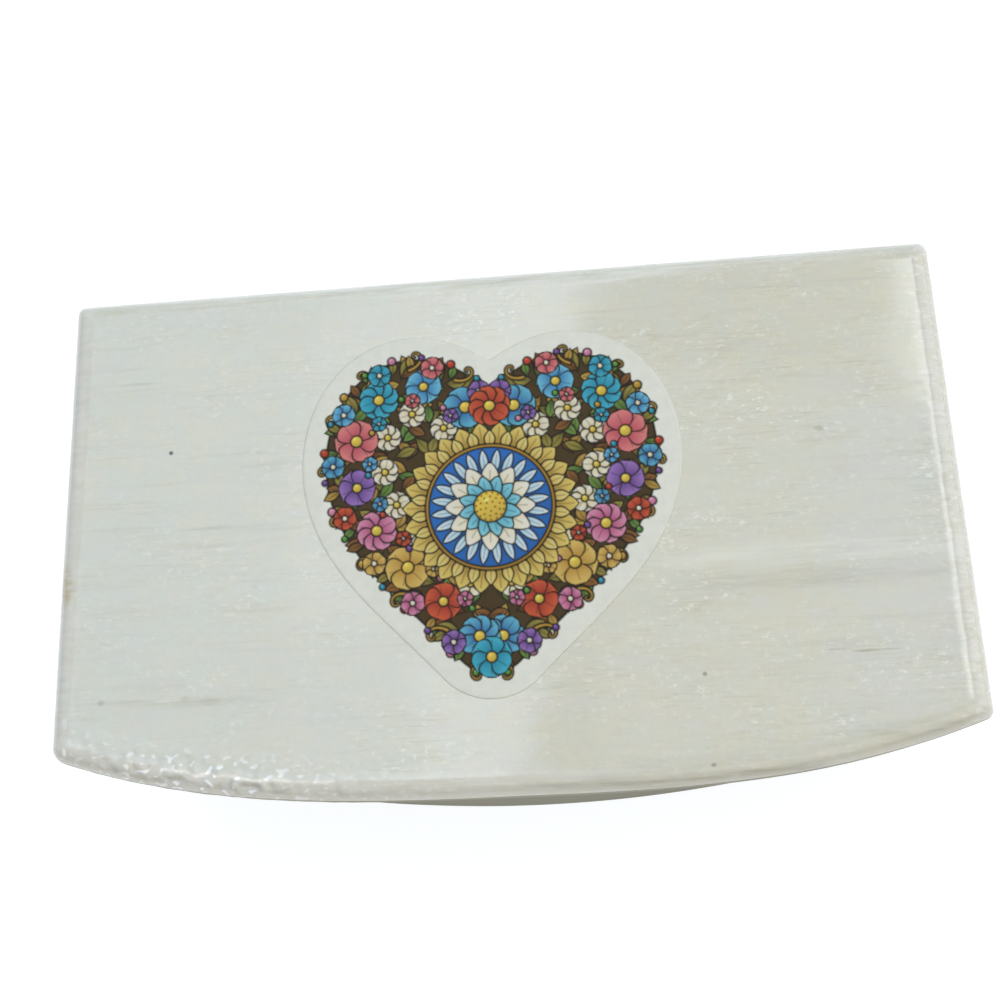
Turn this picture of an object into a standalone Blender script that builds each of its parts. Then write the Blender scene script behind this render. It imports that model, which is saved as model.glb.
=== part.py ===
"""Small bow-fronted wooden box with a lift-off lid that carries a heart-shaped printed film.

Metres, +Z up. The origin is the middle of the underside, X runs along the box's length
and the bowed front faces -Y. The box is whitewashed and varnished, and empty inside.
"""

import math

import bmesh
import bpy
from mathutils import Vector

# Lid, seen from above: straight back and sides, and a front that bows out
LID_WIDTH = 0.200
LID_SIDE_DEPTH = 0.107
LID_BOW = 0.012
LID_BOW_POWER = 3
LID_CORNER_RADIUS = 0.0025

# Lid, seen from the side: a board whose underside is rebated round a raised panel
LID_THICKNESS = 0.010
LID_ROUNDOVER = 0.004
LID_LOWER_EASE = 0.0008
RAISED_PANEL_DEPTH = 0.004
RAISED_PANEL_CLEARANCE = 0.001

# Body below the lid: four walls that stand on a bottom board
WALL_HEIGHT = 0.070
WALL = 0.007
BOTTOM_THICKNESS = 0.005
BODY_CORNER_RADIUS = 0.002
EDGE_EASE = 0.0006
SIDE_OVERHANG = 0.0015
BACK_OVERHANG = 0.0015
FRONT_MIDDLE_OVERHANG = 0.0003
FRONT_CORNER_OVERHANG = 0.0013

# Printed film on the lid: a small heart curve, grown outwards all round, which rounds its tip
HEART_WIDTH = 0.0564
HEART_HEIGHT = 0.0545
HEART_GROWTH = 0.0142
HEART_RIGHT = -0.0017
HEART_FROM_BACK = 0.0574
HEART_TILT = math.radians(-1.5)
FILM_THICKNESS = 0.00025

# The heart curve's height is a sum of cosines of one to four times its angle
HEART_WAVES = (13, -5, -2, -1)
HEART_WAVES_LOW = -17
HEART_WAVES_HIGH = 12

# Pieces that touch stand this far apart
GAP = 0.0003

# How finely round stretches are cut into straight ones
FRONT_STEPS = 32
CORNER_STEPS = 4
EASE_STEPS = 2
ROUNDOVER_STEPS = 6
HEART_STEPS = 40
TIP_STEPS = 6
LEAST_RADIUS = 0.00005

# Places that follow from the sizes above
LID_BACK = (LID_SIDE_DEPTH + LID_BOW) / 2
LID_FRONT = -LID_BACK
WALL_BASE = BOTTOM_THICKNESS + GAP
WALL_TOP = WALL_BASE + WALL_HEIGHT
LID_UNDERSIDE = WALL_TOP + GAP
BODY_HALF_WIDTH = LID_WIDTH / 2 - SIDE_OVERHANG
BODY_BACK = LID_BACK - BACK_OVERHANG
BODY_FRONT = LID_FRONT + FRONT_MIDDLE_OVERHANG
BODY_BOW = LID_BOW + FRONT_CORNER_OVERHANG - FRONT_MIDDLE_OVERHANG
FRONT_RADIUS = (BODY_HALF_WIDTH**2 + BODY_BOW**2) / (2 * BODY_BOW)


def clear_scene():
    for obj in list(bpy.data.objects):
        bpy.data.objects.remove(obj, do_unlink=True)


def material(name, colour, roughness, metallic, coat):
    made = bpy.data.materials.new(name)
    made.use_nodes = True
    shader = made.node_tree.nodes["Principled BSDF"]
    shader.inputs["Base Color"].default_value = (*colour, 1.0)
    shader.inputs["Roughness"].default_value = roughness
    shader.inputs["Metallic"].default_value = metallic
    shader.inputs["Coat Weight"].default_value = coat
    return made


def whitewashed_wood(piece):
    """Thin white paint on pale wood, under gloss varnish."""
    return material(f"whitewashed wood, {piece}", (0.61, 0.63, 0.55), 0.4, 0.0, 0.8)


def printed_film():
    """Glossy film, in the print's average colour."""
    return material("printed film", (0.27, 0.27, 0.21), 0.3, 0.0, 0.5)


def spaced(first, last, steps):
    """Even values from first to last, both included."""
    return [first + (last - first) * step / steps for step in range(steps + 1)]


def inward(start, end):
    """The unit vector to the left of a side, which points into an anticlockwise outline."""
    side = (end - start).normalized()
    return Vector((-side.y, side.x))


def traced(corners, inset=0.0):
    """The points of an anticlockwise outline, moved in by an inset.

    Each corner is (place, radius): a radius above zero rounds it with an arc, whose count of
    points stays the same at any inset, and zero keeps it as one point.
    """
    points = []
    for index, (place, radius) in enumerate(corners):
        before = corners[index - 1][0]
        after = corners[(index + 1) % len(corners)][0]
        normal_in, normal_out = inward(before, place), inward(place, after)
        mitre = (normal_in + normal_out) / (1 + normal_in.dot(normal_out))
        if radius == 0:
            points.append(place + mitre * inset)
            continue
        reach = max(radius - inset, LEAST_RADIUS)
        centre = place + mitre * (inset + reach)
        first = math.atan2(-normal_in.y, -normal_in.x)
        turn = normal_in.angle_signed(normal_out)
        for angle in spaced(first, first - turn, CORNER_STEPS):
            points.append(centre + Vector((math.cos(angle), math.sin(angle))) * reach)
    return points


def loft(name, layers, finish, smooth_below=35):
    """A closed solid through (outline, height) layers of matching outlines, lowest first."""
    shape = bmesh.new()
    rings = [[shape.verts.new((*point, height)) for point in outline] for outline, height in layers]
    for lower, upper in zip(rings, rings[1:]):
        for index in range(len(lower)):
            shape.faces.new((lower[index - 1], lower[index], upper[index], upper[index - 1]))
    shape.faces.new(list(reversed(rings[0])))
    shape.faces.new(rings[-1])
    mesh = bpy.data.meshes.new(name)
    shape.to_mesh(mesh)
    shape.free()
    mesh.shade_smooth()
    mesh.set_sharp_from_angle(angle=math.radians(smooth_below))
    mesh.materials.append(finish)
    obj = bpy.data.objects.new(name, mesh)
    bpy.context.collection.objects.link(obj)
    return obj


def quarter_round(corners, radius, edge, direction, steps):
    """Layers round a horizontal edge, from the outline's full size inwards; direction is 1 at a top edge."""
    layers = []
    for angle in spaced(0, math.pi / 2, steps):
        height = edge + direction * radius * (math.sin(angle) - 1)
        layers.append((traced(corners, radius * (1 - math.cos(angle))), height))
    return layers


def board(name, corners, thickness, finish):
    """A flat board, or a wall standing on its lower edge, with all its edges eased."""
    low = quarter_round(corners, EDGE_EASE, 0, -1, EASE_STEPS)
    high = quarter_round(corners, EDGE_EASE, thickness, 1, EASE_STEPS)
    return loft(name, low[::-1] + high, finish)


def lid_front(x):
    """The lid's front edge is flat in the middle and falls back faster towards its corners."""
    return LID_FRONT + LID_BOW * (abs(x) * 2 / LID_WIDTH) ** LID_BOW_POWER


def body_front(x, inset=0.0):
    """The front wall is an arc of a circle."""
    return BODY_FRONT + FRONT_RADIUS - math.sqrt((FRONT_RADIUS - inset) ** 2 - x**2)


def bowed_outline(half_width, back, front, radius):
    """Straight back and sides with rounded corners, and a front drawn by a function of x."""
    across = spaced(-half_width, half_width, FRONT_STEPS)
    corners = [(Vector((x, front(x))), 0) for x in across]
    corners[0] = (corners[0][0], radius)
    corners[-1] = (corners[-1][0], radius)
    corners.append((Vector((half_width, back)), radius))
    corners.append((Vector((-half_width, back)), radius))
    return corners


def body_outline():
    return bowed_outline(BODY_HALF_WIDTH, BODY_BACK, body_front, BODY_CORNER_RADIUS)


def make_lid():
    edge = bowed_outline(LID_WIDTH / 2, LID_BACK, lid_front, LID_CORNER_RADIUS)
    panel = body_outline()
    panel_inset = WALL + RAISED_PANEL_CLEARANCE
    layers = [
        (traced(panel, panel_inset + LID_LOWER_EASE), -RAISED_PANEL_DEPTH),
        (traced(panel, panel_inset), LID_LOWER_EASE - RAISED_PANEL_DEPTH),
        (traced(panel, panel_inset), 0),
    ]
    layers += quarter_round(edge, LID_LOWER_EASE, 0, -1, EASE_STEPS)[::-1]
    layers += quarter_round(edge, LID_ROUNDOVER, LID_THICKNESS, 1, ROUNDOVER_STEPS)
    return loft("lid", layers, whitewashed_wood("lid"))


def make_bottom_board():
    return board("bottom_board", body_outline(), BOTTOM_THICKNESS, whitewashed_wood("bottom"))


def make_front_panel():
    """A wall bent to the arc, as wide as the body, with its outer corners rounded."""
    across = spaced(-BODY_HALF_WIDTH, BODY_HALF_WIDTH, FRONT_STEPS)
    outer = [(Vector((x, body_front(x))), 0) for x in across]
    inner = [(Vector((x, body_front(x, WALL))), 0) for x in reversed(across)]
    outer[0] = (outer[0][0], BODY_CORNER_RADIUS)
    outer[-1] = (outer[-1][0], BODY_CORNER_RADIUS)
    return board("front_panel", outer + inner, WALL_HEIGHT, whitewashed_wood("front"))


def make_back_panel():
    corners = [
        (Vector((-BODY_HALF_WIDTH, BODY_BACK - WALL)), 0),
        (Vector((BODY_HALF_WIDTH, BODY_BACK - WALL)), 0),
        (Vector((BODY_HALF_WIDTH, BODY_BACK)), BODY_CORNER_RADIUS),
        (Vector((-BODY_HALF_WIDTH, BODY_BACK)), BODY_CORNER_RADIUS),
    ]
    return board("back_panel", corners, WALL_HEIGHT, whitewashed_wood("back"))


def make_side(name, hand):
    """A side wall between back and front; its front end is cut to the front wall's inner face."""
    outer, inner = BODY_HALF_WIDTH, BODY_HALF_WIDTH - WALL
    back = BODY_BACK - WALL - GAP
    front_end = [(x, body_front(x, WALL + GAP)) for x in (inner, outer)]
    corners = [(Vector(point), 0) for point in (*front_end, (outer, back), (inner, back))]
    if hand < 0:
        corners = [(Vector((-place.x, place.y)), radius) for place, radius in reversed(corners)]
    return board(name, corners, WALL_HEIGHT, whitewashed_wood(name.replace("_", " ")))


def heart_curve(angle):
    """A place on the right half of the heart curve, from 0 at the notch to pi at the tip, and its outward normal."""
    rise = sum(wave * math.cos(n * angle) for n, wave in enumerate(HEART_WAVES, 1))
    slope = sum(-n * wave * math.sin(n * angle) for n, wave in enumerate(HEART_WAVES, 1))
    unit = HEART_HEIGHT / (HEART_WAVES_HIGH - HEART_WAVES_LOW)
    middle = (HEART_WAVES_HIGH + HEART_WAVES_LOW) / 2
    place = Vector((HEART_WIDTH / 2 * math.sin(angle) ** 2, (rise - middle) * unit))
    along = Vector((HEART_WIDTH * math.sin(angle) * math.cos(angle), slope * unit))
    return place, Vector((-along.y, along.x)).normalized()


def heart_outline():
    """The grown heart, anticlockwise from its notch, where the two grown halves cross."""
    half_step = math.pi / HEART_STEPS / 2
    right = []
    for angle in spaced(half_step, math.pi - half_step, HEART_STEPS):
        place, normal = heart_curve(angle)
        right.append(place + normal * HEART_GROWTH)
    kept = [point for point in right if point.x > 0]
    last_dropped = right[-len(kept) - 1]
    share = last_dropped.x / (last_dropped.x - kept[0].x)
    notch = last_dropped.lerp(kept[0], share)
    tip, lowest = heart_curve(math.pi)[0], math.atan2(normal.y, normal.x)
    for angle in spaced(lowest, -math.pi / 2, TIP_STEPS)[1:]:
        kept.append(tip + Vector((math.cos(angle), math.sin(angle))) * HEART_GROWTH)
    left = [Vector((-point.x, point.y)) for point in kept[:-1]]
    return [notch, *left, *reversed(kept)]


def make_heart_decal(lid):
    outline = heart_outline()
    decal = loft("heart_decal", [(outline, 0), (outline, FILM_THICKNESS)], printed_film())
    decal.parent = lid
    decal.location = (HEART_RIGHT, LID_BACK - HEART_FROM_BACK, LID_THICKNESS + GAP)
    decal.rotation_euler.z = HEART_TILT
    return decal


def main():
    clear_scene()
    bottom = make_bottom_board()
    walls = [
        make_front_panel(),
        make_back_panel(),
        make_side("left_side", -1),
        make_side("right_side", 1),
    ]
    for wall in walls:
        wall.parent = bottom
        wall.location.z = WALL_BASE
    lid = make_lid()
    lid.parent = bottom
    lid.location.z = LID_UNDERSIDE
    make_heart_decal(lid)


main()
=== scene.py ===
"""A small bow-fronted keepsake box of whitewashed wood, with a heart-shaped print on its lid."""

import math

import bpy
import numpy as np
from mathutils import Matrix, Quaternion, Vector, noise
from mathutils.geometry import delaunay_2d_cdt


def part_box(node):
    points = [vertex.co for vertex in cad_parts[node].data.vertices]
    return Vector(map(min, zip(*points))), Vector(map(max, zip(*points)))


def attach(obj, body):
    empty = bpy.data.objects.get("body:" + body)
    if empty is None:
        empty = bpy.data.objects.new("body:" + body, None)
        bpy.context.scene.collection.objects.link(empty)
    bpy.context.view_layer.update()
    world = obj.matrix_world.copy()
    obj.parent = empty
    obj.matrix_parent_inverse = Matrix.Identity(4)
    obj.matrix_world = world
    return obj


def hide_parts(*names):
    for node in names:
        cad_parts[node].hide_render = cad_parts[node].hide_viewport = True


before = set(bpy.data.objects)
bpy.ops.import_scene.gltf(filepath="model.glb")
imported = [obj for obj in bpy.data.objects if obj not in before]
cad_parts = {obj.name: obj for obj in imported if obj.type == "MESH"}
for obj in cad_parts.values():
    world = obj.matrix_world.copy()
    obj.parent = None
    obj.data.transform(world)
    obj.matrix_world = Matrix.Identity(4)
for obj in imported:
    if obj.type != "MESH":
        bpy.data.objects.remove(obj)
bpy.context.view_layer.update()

# Walls and bottom board. Basswood boards 7 mm thick, glued round a 5 mm bottom into a box whose
# front wall is bent to an arc. Brushed outside with white paint, its colour darkened all over as painted
# shade, and left inside and underneath as bare sanded wood.

MM = 0.001
BOARD_EASE = 0.6 * MM
BODY_CORNER = 2.0 * MM
CAP_MARGIN = 0.4 * MM
WALL_ROW = 0.8 * MM
WALL_COLUMN = 2.5 * MM
EASE_STEPS = 3
CORNER_STEPS = 5

# A mark with half a length above this many mm is a streak, with ragged edges
LONGEST_SPECK = 2

# How light the walls' paint is against the lid's: darkened as painted shade
WALL_SHADED_WHITENESS = 0.56

bottom_low, bottom_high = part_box("bottom_board")
front_low, front_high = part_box("front_panel")
back_low, back_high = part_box("back_panel")
side_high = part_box("right_side")[1]
wall = back_high.y - back_low.y
body_half = front_high.x
joint_gap = back_low.y - side_high.y

# The front wall's circle, from its own box: its inner face ends where the box does
reach = front_high.y - front_low.y
front_radius = (body_half**2 + reach**2 - wall**2) / (2 * (reach - wall))
front_centre = front_low.y + front_radius


def linear(code):
    """An sRGB hex colour as linear red, green, blue and alpha."""
    shares = [int(code[i : i + 2], 16) / 255 for i in (1, 3, 5)]
    return [s / 12.92 if s <= 0.04045 else ((s + 0.055) / 1.055) ** 2.4 for s in shares] + [1.0]


def add(tree, kind, settings=None, inputs=None):
    """Adds a node. Each input is a plain value, or another node's output to link from."""
    made = tree.nodes.new(kind)
    for name, value in (settings or {}).items():
        setattr(made, name, value)
    for name, value in (inputs or {}).items():
        if isinstance(value, bpy.types.NodeSocket):
            tree.links.new(value, made.inputs[name])
        else:
            made.inputs[name].default_value = value
    return made


def whitewashed_basswood(name, grain, shaded_whiteness=1.0, gloss=1.0, marks=(), lumps=False):
    """White paint brushed along the grain of pale wood, and brushed gloss varnish over it.

    The eye gets soft cool and warm patches, faint streaks along the grain where the wood shows
    through, and short light flecks of thicker paint. Below one, the shaded lightness darkens the whole
    paint as painted shade, and the gloss is the varnish's. Each mark is a streak, stain or speck, or a
    painted highlight, sheen or shade: its place, half its length and width in mm, its colour and its
    strength. Lumps are where the varnish has gathered, as the mesh's attribute for them says, and white
    blobs are painted on them as painted highlights. The mesh's edge attribute says where a light cool
    grey is painted on the edges as painted sheen.
    """
    made = bpy.data.materials.new(name)
    made.use_nodes = True
    tree = made.node_tree
    shader = tree.nodes["Principled BSDF"]
    place = add(tree, "ShaderNodeTexCoord").outputs["Object"]

    def streaks(length, width, detail, low, high):
        """A pattern of streaks so long along the grain and so wide, as a share from 0 to 1."""
        scale = [1 / (length * MM) if axis == grain else 1 / (width * MM) for axis in "XYZ"]
        stretched = add(tree, "ShaderNodeMapping", None, {"Vector": place, "Scale": scale})
        wanted = {"Vector": stretched.outputs["Vector"], "Scale": 1.0, "Detail": detail, "Roughness": 0.6}
        pattern = add(tree, "ShaderNodeTexNoise", None, wanted)
        spread = {"Value": pattern.outputs["Fac"], "From Min": low, "From Max": high}
        return add(tree, "ShaderNodeMapRange", None, spread).outputs["Result"]

    def tinted(below, share, strength, colour):
        """Mixes a colour over what is below, as far as the share and the strength say."""
        amount = add(tree, "ShaderNodeMath", {"operation": "MULTIPLY"}, {0: share, 1: strength})
        wanted = {0: amount.outputs[0], 6: below, 7: colour}
        return add(tree, "ShaderNodeMix", {"data_type": "RGBA"}, wanted).outputs[2]

    # The brushing is rougher in broad patches, and more so towards the right
    from_left = add(tree, "ShaderNodeSeparateXYZ", None, {"Vector": place}).outputs["X"]
    rise = {"Value": from_left, "From Min": -100 * MM, "From Max": 60 * MM, "To Min": 0.5, "To Max": 1.0}
    rougher = add(tree, "ShaderNodeMapRange", None, rise).outputs["Result"]
    patches = streaks(22, 14, 1, 0.35, 0.65)
    uneven = add(tree, "ShaderNodeMath", {"operation": "MULTIPLY"}, {0: patches, 1: rougher}).outputs[0]

    def patchy(share):
        """Keeps a pattern to the rougher patches."""
        return add(tree, "ShaderNodeMath", {"operation": "MULTIPLY"}, {0: share, 1: uneven}).outputs[0]

    def paint(code):
        """A paint colour, darkened all over as painted shade on the walls and the lid's side."""
        return [share * shaded_whiteness for share in linear(code)[:3]] + [1.0]

    colour = tinted(paint("#D1CDB9"), streaks(50, 34, 1, 0.35, 0.65), 0.35, paint("#CACBBF"))
    colour = tinted(colour, streaks(80, 6, 2, 0.5, 0.75), 0.25, paint("#C2BEA9"))
    colour = tinted(colour, patchy(streaks(5, 0.55, 3, 0.5, 0.78)), 0.95, paint("#B5B09C"))
    colour = tinted(colour, streaks(30, 1.6, 2, 0.58, 0.78), 0.35, paint("#B0AA94"))
    colour = tinted(colour, streaks(7, 5, 2, 0.38, 0.62), 0.4, paint("#C8CCC3"))
    colour = tinted(colour, streaks(14, 4, 2, 0.48, 0.7), 0.3, paint("#D0C9C4"))
    colour = tinted(colour, patchy(streaks(1.6, 1.0, 2, 0.57, 0.72)), 0.65, paint("#EAEADF"))
    colour = tinted(colour, streaks(1.3, 1.0, 1, 0.4, 0.85), 0.22, paint("#BDBBA9"))
    if lumps:
        # Painted sheen: a light cool grey tinted onto the left and front edges' rounds, as the edge
        # attribute says
        edge = add(tree, "ShaderNodeAttribute", {"attribute_name": "edge"}).outputs["Fac"]
        colour = tinted(colour, edge, 0.85, linear("#DCDAD2"))
        # Painted highlights: white blobs on the gathered varnish stand for the glints its lumps catch
        fat_and_glints = add(tree, "ShaderNodeAttribute", {"attribute_name": "fat_and_glints"}).outputs["Fac"]
        colour = tinted(colour, streaks(1.8, 1.2, 0, 0.61, 0.72), fat_and_glints, linear("#FFFFFF"))
    ragged = streaks(13, 1.0, 3, 0.3, 0.65)
    for across, along, half_length, half_width, mark_colour, strength in marks:
        scale = (1 / (half_length * MM), 1 / (half_width * MM), 0)
        middle = (-across / half_length, -along / half_width, 0)
        seen = add(tree, "ShaderNodeMapping", None, {"Vector": place, "Location": middle, "Scale": scale})
        away = add(tree, "ShaderNodeVectorMath", {"operation": "LENGTH"}, {0: seen.outputs["Vector"]})
        within = {"Value": away.outputs["Value"], "From Min": 1.3, "From Max": 0.4}
        soft = add(tree, "ShaderNodeMapRange", {"interpolation_type": "SMOOTHSTEP"}, within)
        share = soft.outputs["Result"]
        if half_length > LONGEST_SPECK:
            torn = add(tree, "ShaderNodeMath", {"operation": "MULTIPLY"}, {0: share, 1: ragged})
            share = torn.outputs[0]
        colour = tinted(colour, share, strength, linear(mark_colour))
    tree.links.new(colour, shader.inputs["Base Color"])
    fine = streaks(4, 0.35, 2, 0.2, 0.8)
    bump = add(tree, "ShaderNodeBump", None, {"Height": fine, "Strength": 0.07, "Distance": 0.04 * MM})
    if lumps:
        wanted = {"Vector": place, "Scale": 1 / (2.326 * MM), "Detail": 0.0}
        blobs = add(tree, "ShaderNodeTexNoise", None, wanted)
        height = add(tree, "ShaderNodeMath", {"operation": "MULTIPLY"}, {0: blobs.outputs["Fac"], 1: fat_and_glints})
        wanted = {"Height": height.outputs[0], "Distance": 1.6 * MM, "Normal": bump.outputs["Normal"]}
        bump = add(tree, "ShaderNodeBump", None, wanted)
    tree.links.new(bump.outputs["Normal"], shader.inputs["Normal"])
    shader.inputs["Roughness"].default_value = 0.55
    shader.inputs["Specular IOR Level"].default_value = 0.3 * gloss
    shader.inputs["Coat Weight"].default_value = gloss
    shader.inputs["Coat Roughness"].default_value = 0.1
    return made


def bare_basswood(name, grain):
    """Pale sanded wood, left as it is: a matt cream with fine darker fibres along the grain."""
    made = bpy.data.materials.new(name)
    made.use_nodes = True
    tree = made.node_tree
    shader = tree.nodes["Principled BSDF"]
    place = add(tree, "ShaderNodeTexCoord").outputs["Object"]
    scale = [1 / (40 * MM) if axis == grain else 1 / (0.8 * MM) for axis in "XYZ"]
    stretched = add(tree, "ShaderNodeMapping", None, {"Vector": place, "Scale": scale})
    wanted = {"Vector": stretched.outputs["Vector"], "Scale": 1.0, "Detail": 4.0}
    fibres = add(tree, "ShaderNodeTexNoise", None, wanted).outputs["Fac"]
    shades = {0: fibres, 6: linear("#D8C6A0"), 7: linear("#B99F74")}
    mixed = add(tree, "ShaderNodeMix", {"data_type": "RGBA"}, shades)
    bump = add(tree, "ShaderNodeBump", None, {"Height": fibres, "Strength": 0.3, "Distance": 0.05 * MM})
    tree.links.new(mixed.outputs[2], shader.inputs["Base Color"])
    tree.links.new(bump.outputs["Normal"], shader.inputs["Normal"])
    shader.inputs["Roughness"].default_value = 0.7
    return made


def moved_in(loop, distance):
    """A closed anticlockwise loop of plan points, moved inwards all along."""
    loop = np.array(loop)
    sides = np.roll(loop, -1, 0) - loop
    sides /= np.hypot(sides[:, 0], sides[:, 1])[:, None]
    out = np.stack([-sides[:, 1], sides[:, 0]], 1)
    into = np.roll(out, 1, 0)
    mitre = (into + out) / (1 + (into * out).sum(1))[:, None]
    return loop + mitre * distance


def corner_arc(before, corner, after, radius):
    """The arc that rounds an anticlockwise corner, or the corner itself where the radius is zero."""
    if not radius:
        return [corner]
    into, out = (corner - before).normalized(), (after - corner).normalized()
    turn = into.angle_signed(out)
    centre = corner - into * radius * math.tan(abs(turn) / 2) + Vector((-into.y, into.x)) * radius
    first = math.atan2(-into.x, into.y)
    angles = [first - turn * i / CORNER_STEPS for i in range(CORNER_STEPS + 1)]
    return [centre + Vector((math.cos(a), math.sin(a))) * radius for a in angles]


def plan(corners, pitch):
    """A closed anticlockwise loop through (x, y, radius) corners, with points a pitch apart along it."""
    places = [Vector(corner[:2]) for corner in corners]
    loop = []
    for i, (*_, radius) in enumerate(corners):
        loop += corner_arc(places[i - 1], places[i], places[(i + 1) % len(places)], radius)
    filled = []
    for point, following in zip(loop, loop[1:] + loop[:1]):
        steps = max(1, round((following - point).length / pitch))
        filled += [point.lerp(following, i / steps) for i in range(steps)]
    return filled


def band(lower, upper):
    """The quads between two rings of point numbers."""
    return [(lower[i - 1], lower[i], upper[i], upper[i - 1]) for i in range(len(lower))]


def eased_rings(loop, low, high):
    """The rings of an upright board with eased edges, lowest first, with a flat margin at each end."""
    turns = [math.pi / 2 * i / EASE_STEPS for i in range(EASE_STEPS + 1)]
    ease = [(BOARD_EASE * (1 - math.cos(t)), BOARD_EASE * (1 - math.sin(t))) for t in turns]
    levels = [(BOARD_EASE + CAP_MARGIN, low)]
    levels += [(inset, low + rise) for inset, rise in reversed(ease)]
    rows = round((high - low - 2 * BOARD_EASE) / WALL_ROW)
    levels += [(0, low + BOARD_EASE + (high - low - 2 * BOARD_EASE) * i / rows) for i in range(1, rows)]
    levels += [(inset, high - rise) for inset, rise in ease]
    levels.append((BOARD_EASE + CAP_MARGIN, high))
    return [[(*point, height) for point in moved_in(loop, inset)] for inset, height in levels]


def brushed_relief(place, grain):
    """How far paint, varnish and raised fibres stand proud at a place, in metres."""
    across = [place[axis] for axis in range(3) if "XYZ"[axis] != grain]
    length = place["XYZ".index(grain)]
    fibre = noise.noise((length / (30 * MM), across[0] / (0.95 * MM), across[1] / (0.95 * MM)))
    brush = noise.noise((length / (12 * MM), across[0] / (2.4 * MM), across[1] / (2.4 * MM)))
    hollow = noise.noise(place / (17 * MM))
    return (0.008 * fibre + 0.014 * brush + 0.05 * hollow) * MM


def skinned(name, points, faces, finish_numbers, finishes, relief, replaced):
    """Makes a mesh, gives it its relief, and has it stand for its CAD node."""
    mesh = bpy.data.meshes.new(name)
    mesh.from_pydata(points, [], faces)
    for finish in finishes:
        mesh.materials.append(finish)
    mesh.polygons.foreach_set("material_index", finish_numbers)
    mesh.shade_smooth()
    mesh.update()
    normals = [Vector(normal.vector) for normal in mesh.vertex_normals]
    for vertex, normal in zip(mesh.vertices, normals):
        vertex.co += normal * relief(vertex.co)
    mesh.update()
    obj = bpy.data.objects.new(name, mesh)
    bpy.context.scene.collection.objects.link(obj)
    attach(obj, "root")
    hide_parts(replaced)
    return obj


def board(name, loop, low, high, grain, bare, caps, replaced):
    """An upright or lying board.

    bare says at which places it shows bare wood, and caps does so for its lower and its upper face.
    """
    rings = eased_rings([tuple(point) for point in loop], low, high)
    count = len(loop)
    points = [point for ring in rings for point in ring]
    numbers = [list(range(i * count, (i + 1) * count)) for i in range(len(rings))]
    faces, finish_numbers = [], []
    for lower, upper in zip(numbers, numbers[1:]):
        faces += band(lower, upper)
        finish_numbers += [int(bare(points[i])) for i in lower]
    faces += [tuple(reversed(numbers[0])), tuple(numbers[-1])]
    # The walls' paint is darkened all over as painted shade
    washed = whitewashed_basswood(f"whitewashed {name}", grain, WALL_SHADED_WHITENESS, 0.0)
    finishes = [washed, bare_basswood(f"bare {name}", grain)]

    def relief(place):
        return brushed_relief(place, grain)

    skinned(name, points, faces, finish_numbers + caps, finishes, relief, replaced)


def front_face(x, inset=0.0):
    """Where the bent front's outer face lies along Y, or a face so far inside it."""
    return front_centre - math.sqrt((front_radius - inset) ** 2 - x**2)


def bowed(inset):
    """Places along the bent front from left to right, without its ends."""
    steps = round(2 * body_half / WALL_COLUMN)
    across = [body_half * (2 * i / steps - 1) for i in range(1, steps)]
    return [(x, front_face(x, inset), 0) for x in across]


def inside_walls(place):
    """True for a place on the walls' inner faces."""
    x, y = abs(place[0]), place[1]
    clear = 0.1 * MM
    return x < body_half - wall + clear and front_face(x, wall) - clear < y < back_low.y + clear


def nowhere(place):
    """The bottom board's edge is painted all round."""
    return False


def make_body():
    """The five boards, each a loop of places seen from above that rises from its foot to its top."""
    half, front_end = body_half, front_face(body_half)
    back, inner_back = back_high.y, back_low.y
    left_corner, right_corner = (-half, front_end, BODY_CORNER), (half, front_end, BODY_CORNER)
    back_corners = [(half, back, BODY_CORNER), (-half, back, BODY_CORNER)]
    ends = [(half, front_high.y, 0), (-half, front_high.y, 0)]
    front = [left_corner, *bowed(0), right_corner, ends[0], *reversed(bowed(wall)), ends[1]]
    rear = [(-half, inner_back, 0), (half, inner_back, 0), *back_corners]
    base = [left_corner, *bowed(0), right_corner, *back_corners]
    low, high = front_low.z, front_high.z
    board("front_wall", plan(front, WALL_COLUMN), low, high, "X", inside_walls, [1, 0], "front_panel")
    board("back_wall", plan(rear, WALL_COLUMN), low, high, "X", inside_walls, [1, 0], "back_panel")
    foot, top = bottom_low.z, bottom_high.z
    board("base", plan(base, WALL_COLUMN), foot, top, "X", nowhere, [1, 1], "bottom_board")
    for hand, name in ((1, "right"), (-1, "left")):
        inner, meets = half - wall, wall + joint_gap
        side = [(inner, front_face(inner, meets), 0), (half, front_face(half, meets), 0)]
        side += [(half, inner_back - joint_gap, 0), (inner, inner_back - joint_gap, 0)]
        if hand < 0:
            side = [(-x, y, radius) for x, y, radius in reversed(side)]
        loop = plan(side, WALL_COLUMN)
        board(f"{name}_wall", loop, low, high, "Y", inside_walls, [1, 0], f"{name}_side")


make_body()

# Lid. One basswood board, its upper edges rounded over and its underside rebated round a raised
# panel that drops inside the walls. Painted white and varnished, with varnish gathered in lumps at
# the front edge's left part, where white blobs are painted on as painted highlights. A light cool
# grey painted on the left and front edges' rounds is painted sheen. The upright edge below the round
# is unvarnished, and its paint and that of the round's lowest row at the front are darkened as
# painted shade. It lies loose.

LID_BOW = 12 * MM
LID_BOW_POWER = 3
LID_CORNER = 2.5 * MM
LEAST_CORNER = 1.3 * MM
LID_ROUNDOVER = 4 * MM
LID_EASE = 0.8 * MM
RAISED_PANEL = 4 * MM
PANEL_CLEARANCE = 1 * MM
LID_ROW = 0.45 * MM
LID_COLUMN = 0.8 * MM
ROUNDOVER_STEPS = 8
LID_SIDE_ROWS = 6
CORNER_BLEND = 0.8

# The lid's finishes, by number, how many rows of the sheet at the front have the side's, and how
# light the side's paint is: darkened as painted shade
VARNISHED = 0
BARE = 1
SIDE = 2
SIDE_ROWS_ABOVE = 1
SIDE_SHADED_WHITENESS = 0.7

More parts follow.
